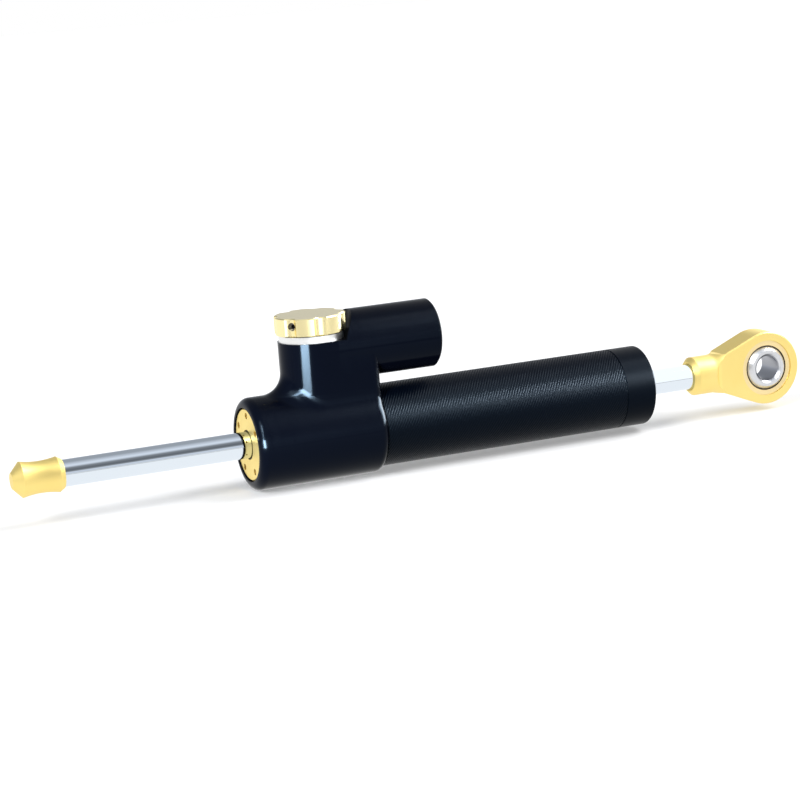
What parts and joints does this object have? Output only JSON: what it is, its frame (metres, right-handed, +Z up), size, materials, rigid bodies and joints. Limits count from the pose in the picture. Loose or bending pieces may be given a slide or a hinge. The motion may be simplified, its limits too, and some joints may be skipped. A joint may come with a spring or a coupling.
{
  "type": "motorcycle steering damper",
  "caption": "Through-rod steering damper: clamped tube, adjuster turret with knob and needle valve, side gas reservoir, and a rod end with a spherical bearing.",
  "frame": {"origin": "on the rod's axis, in the middle of the length of tube that the clamp band can hold", "axes": "+X along the rod towards the rod end with the spherical bearing, +Z up the adjuster turret, +Y across"},
  "size_m": [0.3211, 0.0346, 0.0627],
  "materials": {
    "black_gloss": "glossy black hard coat with navy reflections",
    "black_satin": "satin black over fine turning marks",
    "black_cap": "smooth satin black",
    "gold_anodised": "satin gold anodised aluminium",
    "gold_knob": "bright pale gold anodised aluminium, turned top",
    "chromed_rod": "polished hard chrome",
    "bright_ring": "bright turned steel",
    "bearing_steel": "ground bearing steel",
    "race_bronze": "pale bronze, fine turned",
    "bronze": "sintered bronze",
    "plain_aluminium": "plain machined aluminium",
    "steel": "plain ground steel",
    "dark_screw": "black oxide steel",
    "seal_plastic": "bronze-filled sliding plastic",
    "rubber": "plain black nitrile rubber"
  },
  "bodies": {
    "damper_body": {"housing": "black_gloss", "outer_tube": "black_satin", "inner_cylinder": "steel", "front_gland": "gold_anodised", "gland_oring": "rubber", "front_wiper": "rubber", "front_rod_seal": "rubber", "front_rod_bush": "bronze", "end_cap": "black_cap", "end_cap_oring": "rubber", "rear_wiper": "rubber", "rear_rod_bush": "bronze", "rear_rod_seal": "rubber", "detent_ring": "bright_ring", "valve_cartridge": "plain_aluminium", "cartridge_orings": "rubber", "needle_seat": "bronze", "needle_key": "steel", "reservoir_cap": "black_cap", "reservoir_cap_oring": "rubber", "reservoir_circlip": "steel", "gas_fill_screw": "dark_screw"},
    "piston_body": {"piston": "plain_aluminium", "piston_band": "seal_plastic"},
    "rod_body": {"piston_rod": "chromed_rod", "piston_circlips": "steel", "bump_cap": "gold_anodised", "rod_end": "gold_anodised", "bearing_race": "race_bronze"},
    "ball_body": {"bearing_ball": "bearing_steel"},
    "knob_body": {"adjuster_knob": "gold_knob", "knob_set_screw": "dark_screw", "adjuster_spindle": "steel", "spindle_oring": "rubber", "detent_ball": "steel", "detent_spring": "steel"},
    "needle_body": {"needle_valve": "steel"},
    "compensator_body": {"reservoir_piston": "plain_aluminium", "reservoir_piston_oring": "rubber"}
  },
  "joints": [
    {"name": "piston_slide", "type": "slide", "parent": "damper_body", "child": "piston_body", "axis": [1, 0, 0], "range_m": [-0.0205, 0.0675]},
    {"name": "rod_spin", "type": "hinge", "parent": "piston_body", "child": "rod_body", "pos_m": [0, 0, 0], "axis": [1, 0, 0], "continuous": true},
    {"name": "ball_tilt", "type": "hinge", "parent": "rod_body", "child": "ball_body", "pos_m": [0.1178, 0, 0], "axis": [0, 0, 1], "range_deg": [-13, 13]},
    {"name": "knob_turn", "type": "hinge", "parent": "damper_body", "child": "knob_body", "pos_m": [-0.072, 0, 0], "axis": [0, 0, 1], "range_deg": [-150, 150]},
    {"name": "needle_lift", "type": "slide", "parent": "damper_body", "child": "needle_body", "axis": [0, 0, 1], "range_m": [-0.00042, 0.00042]},
    {"name": "compensator_slide", "type": "slide", "parent": "damper_body", "child": "compensator_body", "axis": [1, 0, 0], "range_m": [-0.002, 0.008]}
  ],
  "couplings": [
    {"joint": "needle_lift", "follows": "knob_turn", "m_per_rad": 0.00015915}
  ]
}
